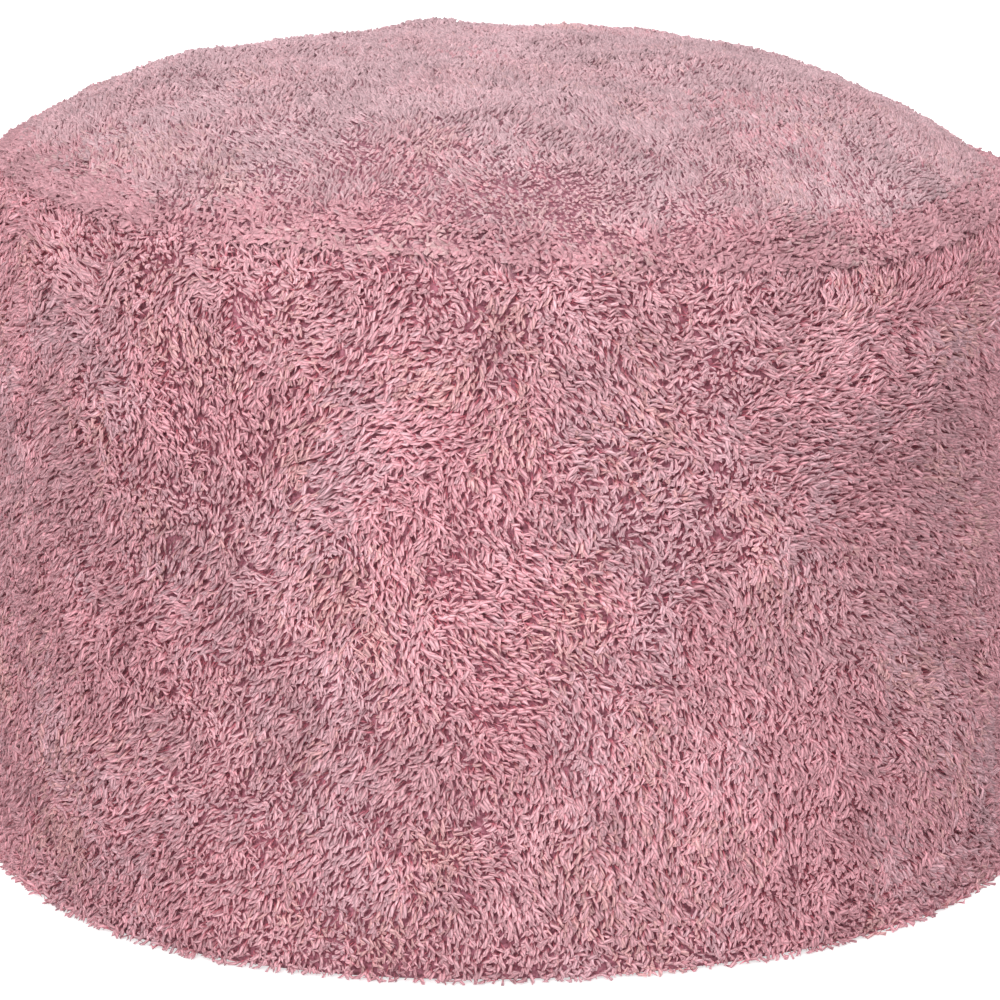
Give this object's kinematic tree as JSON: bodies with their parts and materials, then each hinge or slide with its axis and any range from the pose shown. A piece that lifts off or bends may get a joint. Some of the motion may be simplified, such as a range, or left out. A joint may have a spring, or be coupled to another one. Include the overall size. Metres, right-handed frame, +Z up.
{
  "type": "cylinder pouf",
  "caption": "Round shag floor pouf: a filled drum covered in twisted rose cotton pile, with a domed pile top sewn to the side and a plain base cloth.",
  "frame": {"origin": "centre of the footprint, on the floor the pouf stands on", "axes": "+Z up; -Y is the side seen in front; +X to the right of it"},
  "size_m": [0.5106, 0.5084, 0.3881],
  "materials": {
    "shag_side": "matt cut pile of twisted dusty rose cotton yarn",
    "shag_top": "matt cut pile of twisted dusty rose cotton yarn, seen end on",
    "base_cloth": "plain woven canvas"
  },
  "bodies": {
    "root": {"side_band": "shag_side", "top_panel": "shag_top", "base_panel": "base_cloth"}
  },
  "joints": []
}
